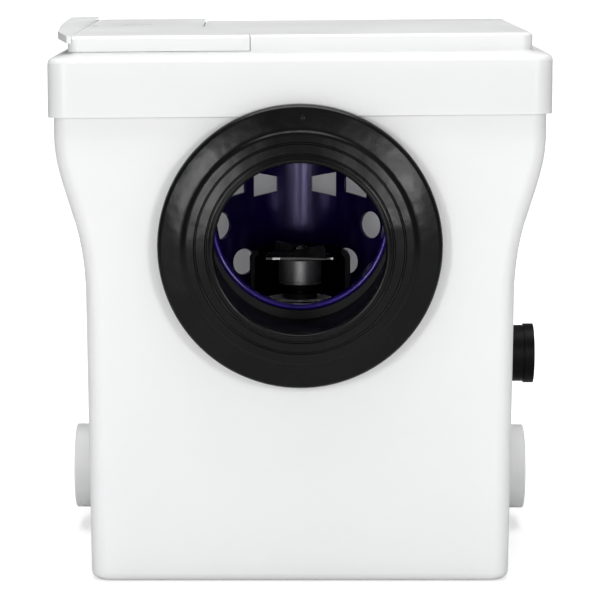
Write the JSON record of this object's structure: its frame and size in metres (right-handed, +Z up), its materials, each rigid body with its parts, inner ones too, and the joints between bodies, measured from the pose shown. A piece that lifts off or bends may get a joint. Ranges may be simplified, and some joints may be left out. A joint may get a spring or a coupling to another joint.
{
  "type": "sewage lift station",
  "caption": "Macerating sewage lift station for a floor: white tank with lid, rubber toilet sleeve, perforated basket with cutter, submerged pump, side inlets and outlet.",
  "frame": {"origin": "centre of the tank's underside, on the floor", "axes": "+Z up, -Y towards the toilet inlet in the front, +X towards the discharge outlet"},
  "size_m": [0.2745, 0.2526, 0.301],
  "materials": {
    "tank_white": "satin",
    "lid_white": "satin",
    "sleeve_rubber": "satin",
    "black_rubber": "matte",
    "black_plastic": "satin",
    "basket_violet": "gloss",
    "steel": "brushed",
    "hub_steel": "brushed",
    "plate_steel": "brushed",
    "can_steel": "brushed",
    "cast_aluminium": "cast",
    "core_steel": "matte",
    "winding_copper": "satin",
    "pump_grey": "satin",
    "impeller_black": "satin",
    "flap_orange": "satin",
    "bell_grey": "satin",
    "hose_clear": "satin",
    "control_grey": "matte",
    "capacitor_white": "satin"
  },
  "bodies": {
    "station": {"tank": "tank_white", "toilet_sleeve": "sleeve_rubber", "inlet_tube": "black_plastic", "basket": "basket_violet", "grinding_plate": "plate_steel", "cutter_guard": "black_plastic", "stator_core": "core_steel", "stator_windings": "winding_copper", "motor_can": "can_steel", "motor_top_cap": "cast_aluminium", "motor_end_plate": "cast_aluminium", "upper_bearing": "steel", "lower_bearing": "steel", "upper_shaft_seal": "black_rubber", "lower_shaft_seal": "black_rubber", "pump_casing": "pump_grey", "suction_plate": "pump_grey", "suction_strainer": "pump_grey", "pump_feet": "black_rubber", "pump_screws": "steel", "discharge_pipe": "pump_grey", "hose_clamps": "steel", "discharge_outlet": "black_plastic", "outlet_locknut": "black_plastic", "left_inlet_seat": "black_plastic", "right_inlet_seat": "black_plastic", "flap_pins": "steel"},
    "rotor": {"cutter_hub": "hub_steel", "cutter_slinger": "black_plastic", "bar_blade": "steel", "upturned_blade": "steel", "blade_nut": "steel", "shaft": "steel", "rotor_core": "core_steel", "impeller": "impeller_black"},
    "check_valve_flap": {"discharge_flap": "flap_orange"},
    "left_valve_flap": {"left_inlet_flap": "flap_orange"},
    "right_valve_flap": {"right_inlet_flap": "flap_orange"},
    "lid_group": {"lid": "lid_white", "lid_gasket": "black_rubber", "pressure_bell": "bell_grey", "pressure_hose": "hose_clear", "pressure_switch": "black_plastic", "control_box": "control_grey", "control_box_cover": "control_grey", "control_screws": "steel", "capacitor": "capacitor_white", "capacitor_clip": "steel", "vent_filter": "black_plastic", "cable_grommet": "black_rubber"},
    "cover_group": {"service_cover": "lid_white"},
    "switch_plunger": {"switch_diaphragm": "flap_orange"}
  },
  "joints": [
    {"name": "rotor_spin", "type": "hinge", "parent": "station", "child": "rotor", "pos_m": [0, 0.03, 0.08], "axis": [0, 0, 1], "continuous": true},
    {"name": "check_flap_hinge", "type": "hinge", "parent": "station", "child": "check_valve_flap", "pos_m": [0.09666, -0.014, 0.12165], "axis": [0, -1, 0], "range_deg": [0, 60]},
    {"name": "left_flap_hinge", "type": "hinge", "parent": "station", "child": "left_valve_flap", "pos_m": [-0.10335, 0.033, 0.0594], "axis": [0, -1, 0], "range_deg": [0, 65]},
    {"name": "right_flap_hinge", "type": "hinge", "parent": "station", "child": "right_valve_flap", "pos_m": [0.10335, 0.033, 0.0588], "axis": [0, 1, 0], "range_deg": [0, 65]},
    {"name": "lid_lift", "type": "slide", "parent": "station", "child": "lid_group", "axis": [0, 0, 1], "range_m": [0, 0.08]},
    {"name": "cover_lift", "type": "slide", "parent": "lid_group", "child": "cover_group", "axis": [0, 0, 1], "range_m": [0, 0.05]},
    {"name": "diaphragm_stroke", "type": "slide", "parent": "lid_group", "child": "switch_plunger", "axis": [0, 0, 1], "range_m": [0, 0.0015]}
  ]
}
